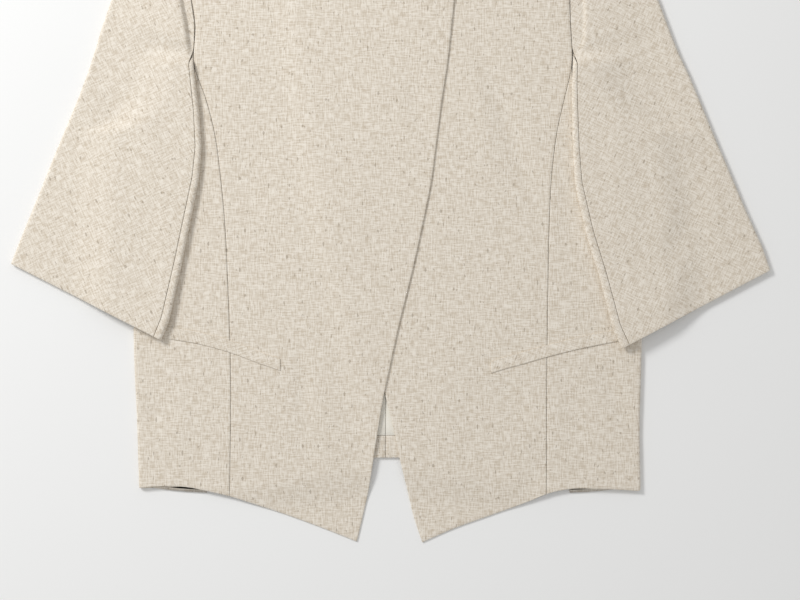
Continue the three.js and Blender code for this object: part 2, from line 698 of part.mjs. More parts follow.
for (const name of Object.keys(SIDES)) {
  add(`back_${name}`, backPanel(name), CLOTH_FINISH);
  add(`back_lining_${name}`, backLining(name), LINING_FINISH);
  add(`hem_turnup_${name}`, hemTurnUp(name), CLOTH_FINISH);
  add(`side_panel_${name}`, sidePanel(name), CLOTH_FINISH);
  add(`front_${name}`, frontPanel(name), CLOTH_FINISH);
  add(`top_sleeve_${name}`, topSleeve(name), CLOTH_FINISH);
  add(`under_sleeve_${name}`, underSleeve(name), CLOTH_FINISH);
  add(`lapel_${name}`, lapel(name), CLOTH_FINISH);
  add(`pocket_welt_${name}`, pocketWelt(name), CLOTH_FINISH);
  const face = add(`button_${name}`, button(), BUTTON_FINISH);
  const x = SIDES[name] * BUTTON.out;
  face.position.set(x, BUTTON.y, overHeight(x, BUTTON.y) + CLOTH / 2 + SEAM_GAP);
}
add("collar", collar(), CLOTH_FINISH);

// The origin moves to the middle of the underside.
const box = new THREE.Box3().setFromObject(garment);
const centre = box.getCenter(new THREE.Vector3());
garment.position.set(-centre.x, -centre.y, -box.min.z);

export default garment;
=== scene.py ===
"""A cropped double-breasted blazer laid flat, dressed as fine cloth over its fixed frame."""

import logging
import math
from dataclasses import dataclass
from enum import Enum
from typing import Callable, Sequence

import bpy
import numpy as np
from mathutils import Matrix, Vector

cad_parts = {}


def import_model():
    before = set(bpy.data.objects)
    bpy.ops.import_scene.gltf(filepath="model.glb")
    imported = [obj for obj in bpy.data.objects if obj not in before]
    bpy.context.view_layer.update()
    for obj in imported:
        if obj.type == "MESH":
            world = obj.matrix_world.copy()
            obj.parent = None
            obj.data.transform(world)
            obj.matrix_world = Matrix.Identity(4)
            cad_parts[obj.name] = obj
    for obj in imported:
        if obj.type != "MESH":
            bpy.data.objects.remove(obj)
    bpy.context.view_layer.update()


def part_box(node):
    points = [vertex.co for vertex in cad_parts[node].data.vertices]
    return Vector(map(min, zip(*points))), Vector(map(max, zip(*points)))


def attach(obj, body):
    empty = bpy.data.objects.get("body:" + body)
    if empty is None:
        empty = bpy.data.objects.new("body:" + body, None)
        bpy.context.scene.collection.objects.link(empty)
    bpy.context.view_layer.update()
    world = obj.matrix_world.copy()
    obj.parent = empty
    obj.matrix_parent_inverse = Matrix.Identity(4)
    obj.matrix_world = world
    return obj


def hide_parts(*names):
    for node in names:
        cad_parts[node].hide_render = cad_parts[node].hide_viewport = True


LOG = logging.getLogger("blazer")
MM = 0.001

# Heights of the layers, in millimetres, as they lie on the table.
CLOTH = 1.5
LINING = 1.0
BACK_Z = 0.75
LINING_Z = 2.3
FRONT_Z = 4.0
SHOULDER_Z = 2.55
LAYER = 1.8
OVERLAP_LIFT = 1.9

# Landmarks of the cut, in millimetres: X from the centre line, Y up from the side hem.
UNDERARM = 343.0
PITCH = 403.0
NECK = (75.0, 605.0)
CENTRE_BACK_NECK = 586.0
CENTRE_BACK_HEM = 29.5
CENTRE_BACK_SEAM = -4.3
TURN_UP = 21.0
BREAK = {"right": (66.0, 540.0), "left": (-75.0, 540.0)}


class Side(Enum):
    """The wearer's two sides, with the sign of X on each."""

    RIGHT = -1
    LEFT = 1

    @property
    def label(self) -> str:
        """The side's name in node names."""
        return self.name.lower()


# Each table's first column is what it is read by; then come the right and the left side.
EDGE = [
    (-51.5, -32, 31), (-30, -26.9, 23.6), (0, -20.2, 16.3), (30, -15.6, 9), (60, -10.9, 3), (90, -5.8, -4.6),
    (120, 0.6, -11), (160, 9.4, -19), (205, 20.6, -30), (250, 30.6, -41), (295, 39.6, -50), (340, 45.5, -57),
    (375, 50, -62), (405, 54.7, -66), (435, 58, -69), (468, 61.5, -72), (540, 66, -75),
]
SEAM = [
    (-8, 153.6, 150.1), (100, 152.6, 150.2), (200, 155.5, 151.5), (250, 158, 152.5), (300, 162.5, 155),
    (345, 169, 160.7), (375, 177, 167.5), (403, 187, 173.8), (447, 186.8, 172.9), (468, 190, 172.3),
    (500, 196, 177), (530, 203.5, 190), (561.5, 213, 211),
]
FOLD = [(0, 240.5, 240.2), (50, 242, 239.4), (150, 245.8, 241.5), (250, 244, 241), (343, 240, 240)]
HEM = [
    (31, -51.5, -52), (60, -40, -39.2), (100, -25.2, -24.8), (135, -13.5, -11.8), (150, -8.6, -5.5),
    (175, -2.6, -0.4), (195, 1.2, -0.4), (217, 2.1, -1.1), (241, 0.5, -2.7),
]
WELT = [
    (97, 121.5, 121.8), (106, 124.6, 124.8), (125, 131, 130), (150, 140.5, 137.2), (180, 149, 144.8),
    (219, 155.8, 152.6),
]
FRONT_ROWS = [
    (-7, -51.5), (5, -26), (18, -2), (32, 21), (75, 70), (125, 120), (175, 170), (225, 220), (275, 270),
    (315, 310), (345, 345), (375, 380), (403, 410), (425, 440), (447, 468), (468, 490), (500, 508),
    (530, 528), (561.5, 540),
]
# Sleeve sections from cuff to shoulder: inner X and Y, outer X and Y, lift off the welt, ridge, rise.
SLEEVE = {
    "right": [
        (218.4, 142, 363.3, 215.3, 1.8, 0, 0), (211, 160, 356, 234, 1.8, 0, 0),
        (199.3, 213, 338.6, 276.5, 0, 0, 0), (191.3, 252.7, 324, 313, 0, 0, 0),
        (182.6, 295.7, 309, 349, 0, 0, 0), (180.1, 324.5, 299, 373, 0, 0, 0),
        (182.2, 358, 289.5, 399, 0, 0, 0), (185.5, 385, 282, 422, 0, 0, 0),
        (187.8, 403, 277, 439, 0, 0, 0), (0, 425, 271, 456, 0, 6, 4.5), (0, 447, 267, 468, 0, 10, 4.5),
        (0, 468, 262, 487, 0, 11, 4), (0, 500, 254.5, 509, 0, 10, 2.5), (0, 530, 245, 531, 0, 8, 1),
        (0, 559, 231, 548.5, 0, 4, 0),
    ],
    "left": [
        (221.7, 134, 364.5, 209, 1.8, 0, 0), (213, 152, 357, 231, 1.8, 0, 0),
        (199.7, 203.5, 341, 266, 0, 0, 0), (187, 245, 325, 304, 0, 0, 0),
        (176.8, 291, 309.5, 340, 0, 0, 0), (174.8, 324.5, 297, 371, 0, 0, 0),
        (174, 358, 286.5, 396, 0, 0, 0), (173.7, 385, 277, 416, 0, 0, 0),
        (174.6, 403, 270.5, 432, 0, 0, 0), (0, 425, 263, 452, 0, 12, 2), (0, 447, 257, 468, 0, 14, 2),
        (0, 468, 250.5, 485, 0, 14, 2), (0, 500, 243, 509, 0, 12, 1), (0, 530, 235, 531, 0, 8, 0.5),
        (0, 559, 228, 548, 0, 4, 0),
    ],
}


def soft(t: np.ndarray | float) -> np.ndarray:
    """A soft step: 0 up to 0, 1 from 1 on."""
    s = np.clip(t, 0.0, 1.0)
    return s * s * (3 - 2 * s)


def curve(rows: Sequence[Sequence[float]], column: int) -> Callable[[np.ndarray], np.ndarray]:
    """Reads one column of a table as a smooth curve of its first column.

    Args:
        rows: The table, its first column rising.
        column: The column to read.

    Returns:
        A function from places along the first column to values.
    """
    x = np.array([r[0] for r in rows], float)
    y = np.array([r[column] for r in rows], float)
    slopes = np.gradient(y, x)

    def read(at: np.ndarray) -> np.ndarray:
        a = np.clip(np.asarray(at, float), x[0], x[-1])
        i = np.clip(np.searchsorted(x, a, side="right") - 1, 0, len(x) - 2)
        h = x[i + 1] - x[i]
        t = (a - x[i]) / h
        bend = (1 - t) * slopes[i] * h - t * slopes[i + 1] * h
        lean = y[i + 1] - y[i]
        return y[i] + lean * t * t * (3 - 2 * t) + t * (1 - t) * bend

    return read


CURVES = {
    side: {
        "edge": curve(EDGE, column),
        "seam": curve(SEAM, column),
        "fold": curve(FOLD, column),
        "hem": curve(HEM, column),
        "welt": curve(WELT, column),
    }
    for column, side in ((1, Side.RIGHT), (2, Side.LEFT))
}


@dataclass(frozen=True)
class Crease:
    """A soft trough, or with a negative depth a ridge, along a straight stretch of cloth."""

    start: tuple[float, float]
    end: tuple[float, float]
    width: float
    depth: float

    def height(self, x: np.ndarray, y: np.ndarray) -> np.ndarray:
        """The change of height at each point, fading towards both ends."""
        ax, ay = self.start
        dx, dy = self.end[0] - ax, self.end[1] - ay
        length = math.hypot(dx, dy)
        along = ((x - ax) * dx + (y - ay) * dy) / length
        off = ((x - ax) * dy - (y - ay) * dx) / length
        past = np.maximum(np.maximum(-along, along - length), 0) / (1.6 * self.width)
        middle = np.sin(np.pi * np.clip(along / length, 0.12, 0.88))
        return -self.depth * middle * np.exp(-((off / self.width) ** 2) - past**2)


CREASES = {
    "front_right": [
        Crease((-87, 125), (-80, 62), 9, 1.0), Crease((-68, 60), (-55, 0), 14, -0.6),
        Crease((-118, 420), (-126, 250), 24, 0.6), Crease((18, 400), (36, 330), 12, 0.8),
        Crease((-40, 330), (-60, 180), 30, -0.7), Crease((-140, 80), (-128, 10), 10, 0.4),
    ],
    "front_left": [
        Crease((88, 420), (142, 262), 12, 1.4), Crease((74, 400), (100, 300), 12, -0.6),
        Crease((96, 112), (142, 58), 11, 1.3), Crease((110, 70), (150, 20), 14, -0.6),
        Crease((150, 20), (118, -12), 10, 0.7), Crease((52, 160), (60, 20), 22, -0.5),
    ],
    "side_panel_right": [Crease((-236, 66), (-218, 74), 12, 0.9), Crease((-200, 110), (-206, 20), 12, -0.5)],
    "side_panel_left": [
        Crease((194, 128), (236, 52), 9, 1.2), Crease((172, 110), (182, 30), 14, 0.6),
        Crease((165, 330), (176, 200), 10, 0.8),
    ],
    "top_sleeve_right": [
        Crease((-272, 390), (-254, 340), 14, 1.2), Crease((-250, 440), (-214, 230), 16, -0.8),
        Crease((-300, 330), (-285, 240), 20, -0.6), Crease((-222, 300), (-236, 190), 12, 0.5),
    ],
    "top_sleeve_left": [
        Crease((262, 370), (284, 262), 14, 1.6), Crease((284, 262), (262, 205), 11, 1.3),
        Crease((300, 330), (314, 230), 16, -0.8), Crease((212, 400), (226, 240), 16, -0.9),
        Crease((240, 450), (256, 380), 12, 0.6),
    ],
}


def creased(name: str, x: np.ndarray, y: np.ndarray) -> np.ndarray:
    """The listed creases of a piece, with a faint unevenness of laid cloth."""
    total = 0.12 * np.sin(x / 23 + 1.3 * np.sin(y / 61)) * np.sin(y / 37 + 0.7)
    for crease in CREASES.get(name, []):
        total = total + crease.height(x, y)
    return total


def back_hem(x: np.ndarray) -> np.ndarray:
    """Height of the back hem above the side hem."""
    return CENTRE_BACK_HEM / 2 * (1 + np.cos(np.pi * np.minimum(np.abs(x), 241) / 241))


def neck_line(x: np.ndarray) -> np.ndarray:
    """Height of the back neck seam."""
    return CENTRE_BACK_NECK + (NECK[1] - CENTRE_BACK_NECK) * (x / NECK[0]) ** 2


def front_height(x: np.ndarray, y: np.ndarray) -> np.ndarray:
    """The fronts lie on the back, meet it at the shoulder and sink to the table past its hem."""
    on_back = FRONT_Z + (BACK_Z - FRONT_Z) * soft((back_hem(x) - y - 8) / 36)
    rise = (NECK[1] - 561.5) / (212 - NECK[0])
    below = (561.5 + (212 - np.abs(x)) * rise - y) / math.hypot(1, rise)
    return SHOULDER_Z + (on_back - SHOULDER_Z) * soft(below / 18)


def over_height(x: np.ndarray, y: np.ndarray) -> np.ndarray:
    """The right front lies on the left one and steps down beyond its edge."""
    bx, by = BREAK["left"]
    ax, ay = NECK[0] - bx, NECK[1] - by
    past_roll = ((x - bx) * ay - (y - by) * ax) / math.hypot(ax, ay)
    inside = np.where(y < by, x - CURVES[Side.LEFT]["edge"](y), past_roll)
    room = 2 * soft((y - 508) / 20)
    return front_height(x, y) + (OVERLAP_LIFT + room) * soft(1 + (inside + 14) / 30)


HEIGHTS = {Side.RIGHT: over_height, Side.LEFT: front_height}


def spread(values: Sequence[float], count: int) -> np.ndarray:
    """Evenly resamples a short list of row values to count values."""
    return np.interp(np.linspace(0, len(values) - 1, count), np.arange(len(values)), values)


def patch(bottom: np.ndarray, top: np.ndarray, left: np.ndarray, right: np.ndarray) -> np.ndarray:
    """The grid between four edges.

    Args:
        bottom: Points across the lower edge, as an array of X and Y.
        top: Points across the upper edge.
        left: Points up the edge where the rows start.
        right: Points up the edge where the rows end.

    Returns:
        An array of rows, columns and the two coordinates.
    """
    u = np.linspace(0, 1, len(bottom))[None, :, None]
    v = np.linspace(0, 1, len(left))[:, None, None]
    sides = left[:, None] * (1 - u) + right[:, None] * u
    ends = bottom[None] * (1 - v) + top[None] * v
    low = bottom[0] * (1 - u) + bottom[-1] * u
    high = top[0] * (1 - u) + top[-1] * u
    return sides + ends - (low * (1 - v) + high * v)


def polyline(points: Sequence[Sequence[float]], count: int) -> np.ndarray:
    """Points evenly spaced along straight stretches."""
    p = np.array(points, float)
    run = np.concatenate([[0], np.cumsum(np.linalg.norm(np.diff(p, axis=0), axis=1))])
    at = np.linspace(0, run[-1], count)
    return np.stack([np.interp(at, run, p[:, k]) for k in range(p.shape[1])], axis=1)


def linear(hex_colour: str) -> tuple[float, float, float, float]:
    """An sRGB hex colour as linear RGBA."""
    parts = [int(hex_colour[i : i + 2], 16) / 255 for i in (1, 3, 5)]
    return (*[c / 12.92 if c <= 0.04045 else ((c + 0.055) / 1.055) ** 2.4 for c in parts], 1.0)


def add_node(tree: bpy.types.NodeTree, kind: str, settings: dict | None = None, links: dict | None = None):
    """Adds a node with its settings and links.

    Args:
        tree: The tree to add to.
        kind: The node's type.
        settings: Attributes by name, or input values by "in:" and the socket's name or number.
        links: Input sockets by name or number, each fed by an output socket.

    Returns:
        The new node.
    """
    node = tree.nodes.new(kind)
    for key, value in (settings or {}).items():
        if key.startswith("in:"):
            socket = key[3:]
            node.inputs[int(socket) if socket.isdigit() else socket].default_value = value
        else:
            setattr(node, key, value)
    for key, output in (links or {}).items():
        tree.links.new(output, node.inputs[key])
    return node


@dataclass(frozen=True)
class WovenCloth:
    """Plain-woven linen-look suiting: matt, with thick and thin threads and a few dark slubs.

    The real threads lie about 0.5 mm apart, too fine to show, so they are drawn about 1.3 mm apart.
    """

    name: str = "woven_linen_suiting"
    light: str = "#EFE7DA"
    dark: str = "#CFC2AF"
    slub: str = "#8F7F6A"
    thread: float = 1.3 * MM
    run: float = 9.0 * MM
    roughness: float = 0.92
    slubs: bool = True

    def make(self) -> bpy.types.Material:
        """Builds the material."""
        material = bpy.data.materials.new(self.name)
        material.use_nodes = True
        tree = material.node_tree
        tree.nodes.clear()
        where = add_node(tree, "ShaderNodeUVMap", {"uv_map": "grain"})
        threads = []
        for across, along in ((self.thread, self.run), (self.run, self.thread)):
            scaled = add_node(
                tree,
                "ShaderNodeMapping",
                {"in:Scale": (1 / across, 1 / along, 1)},
                {"Vector": where.outputs[0]},
            )
            threads.append(
                add_node(
                    tree,
                    "ShaderNodeTexNoise",
                    {"noise_dimensions": "2D", "in:Scale": 1.0, "in:Detail": 2.0, "in:Roughness": 0.6},
                    {"Vector": scaled.outputs[0]},
                ).outputs["Fac"]
            )
        weave = add_node(tree, "ShaderNodeMath", {"operation": "ADD"}, {0: threads[0], 1: threads[1]})
        half = add_node(tree, "ShaderNodeMath", {"operation": "MULTIPLY", "in:1": 0.5}, {0: weave.outputs[0]})
        ramp = add_node(tree, "ShaderNodeValToRGB", {}, {"Fac": half.outputs[0]})
        ramp.color_ramp.elements[0].position = 0.36
        ramp.color_ramp.elements[0].color = linear(self.dark)
        ramp.color_ramp.elements[1].position = 0.62
        ramp.color_ramp.elements[1].color = linear(self.light)
        colour = ramp.outputs[0]
        if self.slubs:
            spots = add_node(
                tree,
                "ShaderNodeMapping",
                {"in:Scale": (1 / (2.0 * MM), 1 / (5.0 * MM), 1)},
                {"Vector": where.outputs[0]},
            )
            noise = add_node(
                tree,
                "ShaderNodeTexNoise",
                {"noise_dimensions": "2D", "in:Scale": 0.8, "in:Detail": 0.0},
                {"Vector": spots.outputs[0]},
            )
            mask = add_node(
                tree,
                "ShaderNodeMapRange",
                {"in:From Min": 0.80, "in:From Max": 0.86, "in:To Max": 0.5},
                {"Value": noise.outputs["Fac"]},
            )
            mixed = add_node(
                tree,
                "ShaderNodeMix",
                {"data_type": "RGBA", "in:7": linear(self.slub)},
                {0: mask.outputs[0], 6: colour},
            )
            colour = mixed.outputs[2]
        bump = add_node(
            tree,
            "ShaderNodeBump",
            {"in:Strength": 0.35, "in:Distance": 0.25 * MM},
            {"Height": half.outputs[0]},
        )
        shader = add_node(
            tree,
            "ShaderNodeBsdfPrincipled",
            {"in:Roughness": self.roughness, "in:Sheen Weight": 0.15, "in:Sheen Roughness": 0.6},
            {"Base Color": colour, "Normal": bump.outputs[0]},
        )
        add_node(tree, "ShaderNodeOutputMaterial", {}, {"Surface": shader.outputs[0]})
        return material


def build_wall(
    name: str, grid: np.ndarray, thickness: float, material: bpy.types.Material, turn: float = 0.0
) -> bpy.types.Object:
    """Makes one piece of cloth as a closed wall with softly rounded edges.

    Args:
        name: The piece's name.
        grid: Points of the middle surface, in millimetres, as rows by columns by three.
        thickness: The wall's thickness in millimetres.
        material: Its finish.
        turn: The grain's turn in radians.

    Returns:
        The new object, with its area in square metres as the property "area", and its longest row and
        column, unfolded, in metres, as the property "cut".
    """
    across = np.gradient(grid, axis=1)
    up = np.gradient(grid, axis=0)
    normal = np.cross(across, up)
    normal /= np.linalg.norm(normal, axis=2, keepdims=True) + 1e-12
    diagonals = np.cross(grid[1:, 1:] - grid[:-1, :-1], grid[1:, :-1] - grid[:-1, 1:])
    area = float(np.linalg.norm(diagonals, axis=2).sum()) / 2
    width = float(np.linalg.norm(np.diff(grid, axis=1), axis=2).sum(axis=1).max())
    length = float(np.linalg.norm(np.diff(grid, axis=0), axis=2).sum(axis=0).max())
    rows, columns = grid.shape[:2]
    step_across = across / (np.linalg.norm(across, axis=2, keepdims=True) + 1e-12)
    step_up = up / (np.linalg.norm(up, axis=2, keepdims=True) + 1e-12)
    inset = np.zeros_like(grid)
    inset[:, 0] += step_across[:, 0]
    inset[:, -1] -= step_across[:, -1]
    inset[0] += step_up[0]
    inset[-1] -= step_up[-1]
    half = thickness / 2
    faces_at = [grid + normal * half + inset * half * 0.6, grid - normal * half + inset * half * 0.6]
    ring = (
        [(i, 0) for i in range(rows)]
        + [(rows - 1, j) for j in range(1, columns)]
        + [(i, columns - 1) for i in range(rows - 2, -1, -1)]
        + [(0, j) for j in range(columns - 2, 0, -1)]
    )
    middle = np.array([grid[i, j] for i, j in ring])
    shoulder = np.array([normal[i, j] * half * 0.72 + inset[i, j] * half * 0.16 for i, j in ring])
    lower_shoulder = np.array([-normal[i, j] * half * 0.72 + inset[i, j] * half * 0.16 for i, j in ring])
    points = np.concatenate(
        [
            faces_at[0].reshape(-1, 3),
            faces_at[1].reshape(-1, 3),
            middle + shoulder,
            middle,
            middle + lower_shoulder,
        ]
    )
    count = rows * columns
    faces: list[tuple[int, ...]] = []
    for i in range(rows - 1):
        for j in range(columns - 1):
            a = i * columns + j
            b = a + 1
            c = a + columns + 1
            d = a + columns
            faces.append((a, b, c, d))
            faces.append((count + a, count + d, count + c, count + b))
    loops = [
        [i * columns + j for i, j in ring],
        [2 * count + k for k in range(len(ring))],
        [2 * count + len(ring) + k for k in range(len(ring))],
        [2 * count + 2 * len(ring) + k for k in range(len(ring))],
        [count + i * columns + j for i, j in ring],
    ]
    for first, second in zip(loops, loops[1:]):
        for k in range(len(ring)):
            n = (k + 1) % len(ring)
            faces.append((first[k], first[n], second[n], second[k]))
    mesh = bpy.data.meshes.new(name)
    mesh.from_pydata((points + OFFSET) * MM, [], faces)
    mesh.update()
    mesh.polygons.foreach_set("use_smooth", [True] * len(mesh.polygons))
    uv = mesh.uv_layers.new(name="grain")
    x, y = points[:, 0] * MM, points[:, 1] * MM
    cos, sin = math.cos(turn), math.sin(turn)
    turned = np.stack([x * cos + y * sin, y * cos - x * sin], axis=1)
    loop_points = np.empty(len(mesh.loops), int)
    mesh.loops.foreach_get("vertex_index", loop_points)
    uv.data.foreach_set("uv", turned[loop_points].ravel())
    mesh.materials.append(material)
    piece = bpy.data.objects.new(name, mesh)
    bpy.context.scene.collection.objects.link(piece)
    piece["area"] = area * MM * MM
    piece["cut"] = (width * MM, length * MM)
    return piece


def frame_offset() -> np.ndarray:
    """Where the garment's centre line and side hem lie in the frame, in millimetres."""
    low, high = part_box("button_right")
    return np.array([(low[0] + high[0]) / 2 / MM + 36.0, (low[1] + high[1]) / 2 / MM - 495.0, 0.0])


def raised(flat: np.ndarray, height: Callable, name: str = "") -> np.ndarray:
    """Lifts a flat grid to its height, with the creases of the named piece."""
    x, y = flat[..., 0], flat[..., 1]
    z = height(x, y) + (creased(name, x, y) if name else 0)
    return np.stack([x, y, np.broadcast_to(z, x.shape)], axis=-1)


OFFSET = np.zeros(3)


def declare(
    piece: bpy.types.Object, nodes: Sequence[str]
) -> None:
    """Parents a piece to the root and hides the frame nodes that it stands for.

    Args:
        piece: The piece, with its properties "cut" and "area".
        nodes: The nodes of the frame that it stands for.
    """
    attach(piece, "root")
    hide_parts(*nodes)


@dataclass
class Body:
    """Back, fronts, side panels, turn-up, lining and pocket welts."""

    cloth: bpy.types.Material
    lining: bpy.types.Material
    rows: int = 150
    columns: int = 90
    side_columns: int = 34

    def front(self, side: Side) -> None:
        """Builds one front, from its side seam to its edge and roll line.

        Args:
            side: The wearer's side.
        """
        c, s, name = CURVES[side], side.value, side.label
        seam_y = spread([r[0] for r in FRONT_ROWS], self.rows)
        edge_y = spread([r[1] for r in FRONT_ROWS], self.rows)
        tip = s * float(c["edge"](-51.5))
        out = np.linspace(float(c["seam"](0)) - 0.15, tip, self.columns)
        bottom = np.stack([s * out, c["hem"](out)], axis=1)
        left = np.stack([s * (c["seam"](seam_y) - 0.15), seam_y], axis=1)
        right = np.stack([c["edge"](edge_y), edge_y], axis=1)
        left[0], right[0] = bottom[0], bottom[-1]
        split = round((self.columns - 1) * 4 / 11)
        neck = (s * NECK[0], NECK[1])
        top = np.concatenate(
            [polyline([left[-1], neck], split + 1), polyline([neck, BREAK[name]], self.columns - split)[1:]]
        )
        grid = raised(patch(bottom, top, left, right), HEIGHTS[side], f"front_{name}")
        piece = build_wall(f"cloth_front_{name}", grid, CLOTH, self.cloth)
        declare(piece, [f"front_{name}"])

    def back_seam(self, side: Side, y: np.ndarray) -> np.ndarray:
        """Distance of the seam between back and side panel from the centre line."""
        return CURVES[side]["seam"](y) + 22 * soft((PITCH - y) / 160)

    def side_layer(self, side: Side, seam: Callable, hem: Callable) -> np.ndarray:
        """One flat layer of a side panel, from its seam to the start of the side fold."""
        c, s = CURVES[side], side.value
        turn = (FRONT_Z - BACK_Z) / 2 + CLOTH / 2
        seam_y = np.linspace(-7, PITCH, self.rows)
        fold_y = np.linspace(0, UNDERARM, self.rows)
        left = np.stack([s * seam(seam_y), seam_y], axis=1)
        right = np.stack([s * (c["fold"](fold_y) - turn), fold_y], axis=1)
        out = np.linspace(float(seam(0)), float(c["fold"](0)) - turn, self.side_columns)
        bottom = np.stack([s * out, hem(out)], axis=1)
        quarter = np.linspace(0, np.pi / 2, self.side_columns)
        pitch_out = float(seam(PITCH))
        reach = float(c["fold"](UNDERARM)) - turn - pitch_out
        top = np.stack(
            [
                s * (pitch_out + reach * (1 - np.cos(quarter))),
                PITCH - (PITCH - UNDERARM) * np.sin(quarter),
            ],
            axis=1,
        )
        left[0], right[0] = bottom[0], bottom[-1]
        left[-1], right[-1] = top[0], top[-1]
        return patch(bottom, top, left, right)

    def side_panel(self, side: Side) -> None:
        """Builds a side panel, folded round the side of the body."""
        c, name = CURVES[side], side.label
        radius = (FRONT_Z - BACK_Z) / 2
        front = self.side_layer(side, lambda y: c["seam"](y) + 0.15, c["hem"])
        back = self.side_layer(side, lambda y: self.back_seam(side, y) + 0.15, back_hem)
        upper = raised(front, front_height, f"side_panel_{name}")
        lower = raised(back, lambda x, y: BACK_Z)
        turns = []
        for t in np.linspace(0, 1, 9)[1:-1]:
            p = upper[:, -1] + (lower[:, -1] - upper[:, -1]) * (1 - math.cos(math.pi * t)) / 2
            p = p + np.array([side.value * radius * math.sin(math.pi * t), 0, 0])
            turns.append(p[:, None])
        grid = np.concatenate([upper, *turns, lower[:, ::-1]], axis=1)
        piece = build_wall(f"cloth_side_panel_{name}", grid, CLOTH, self.cloth)
        declare(piece, [f"side_panel_{name}"])

    def back(self, side: Side) -> None:
        """Builds one half of the back, flat on the table."""
        s, name = side.value, side.label
        y = spread([r[0] for r in FRONT_ROWS], 60)
        left = np.stack([s * (self.back_seam(side, y) - 0.15), y], axis=1)
        low = CENTRE_BACK_SEAM + s * 0.15
        x = np.linspace(left[0, 0], low, 48)
        bottom = np.stack([x, back_hem(x)], axis=1)
        right = polyline([bottom[-1], (s * 0.15, CENTRE_BACK_NECK)], 60)
        left[0] = bottom[0]
        left[:12, 1] = np.linspace(left[0, 1], left[12, 1], 13)[:12]
        neck_x = np.linspace(s * NECK[0], s * 0.15, 24)
        neck = np.stack([neck_x, neck_line(neck_x)], axis=1)
        top = np.concatenate([polyline([left[-1], neck[0]], 25), neck[1:]])
        grid = raised(patch(bottom, top, left, right), lambda x, y: BACK_Z)
        piece = build_wall(f"cloth_back_{name}", grid, CLOTH, self.cloth)
        declare(piece, [f"back_{name}"])

    def inside(self, side: Side) -> None:
        """Builds the turn-up and the lining of one half of the back."""
        s, name = side.value, side.label
        x = np.linspace(s * 150, CENTRE_BACK_SEAM + s * 0.15, 40)
        hem = np.stack([x, back_hem(x)], axis=1)
        turned = np.stack([x, back_hem(x) + TURN_UP], axis=1)
        side_edges = [polyline([hem[k], turned[k]], 8) for k in (0, -1)]
        grid = raised(patch(hem, turned, *side_edges), lambda x, y: LINING_Z)
        piece = build_wall(f"cloth_hem_turnup_{name}", grid, LINING, self.cloth)
        declare(piece, [f"hem_turnup_{name}"])
        rim = [(150, 550), (110, 564), (66, 578), (52, 592), (30, 587), (14, 585.5), (0.15, 585)]
        top = polyline([(s * a, b) for a, b in rim], 40)
        bottom = turned + np.array([0, 0.3])
        grid = raised(
            patch(bottom, top, polyline([bottom[0], top[0]], 60), polyline([bottom[-1], top[-1]], 60)),
            lambda x, y: LINING_Z,
        )
        piece = build_wall(f"lining_back_{name}", grid, LINING, self.lining)
        declare(piece, [f"back_lining_{name}"])

    def welt(self, side: Side, front: float, back: float) -> None:
        """Builds a pocket welt on the panels it crosses."""
        s, name = side.value, side.label
        out = np.linspace(back, front, 70)
        edge = CURVES[side]["welt"](out)
        rows = np.linspace(-11.3, 0, 12)
        flat = np.stack([np.broadcast_to(s * out, (12, 70)), edge[None] + rows[:, None]], axis=-1)
        edges = 0.25 * np.exp(-(((rows + 1.6) / 0.8) ** 2))[:, None]
        grid = raised(flat, lambda x, y: HEIGHTS[side](x, y) + 1.35 - edges + creased(f"front_{name}", x, y))
        piece = build_wall(f"cloth_pocket_welt_{name}", grid, 0.8, self.cloth, turn=-s * 0.28)
        declare(piece, [f"pocket_welt_{name}"])

    def build(self) -> None:
        """Builds the body."""
        for side in Side:
            self.back(side)
            self.inside(side)
            self.side_panel(side)
            self.front(side)
        self.welt(Side.RIGHT, 105, 217)
        self.welt(Side.LEFT, 96.5, 219)


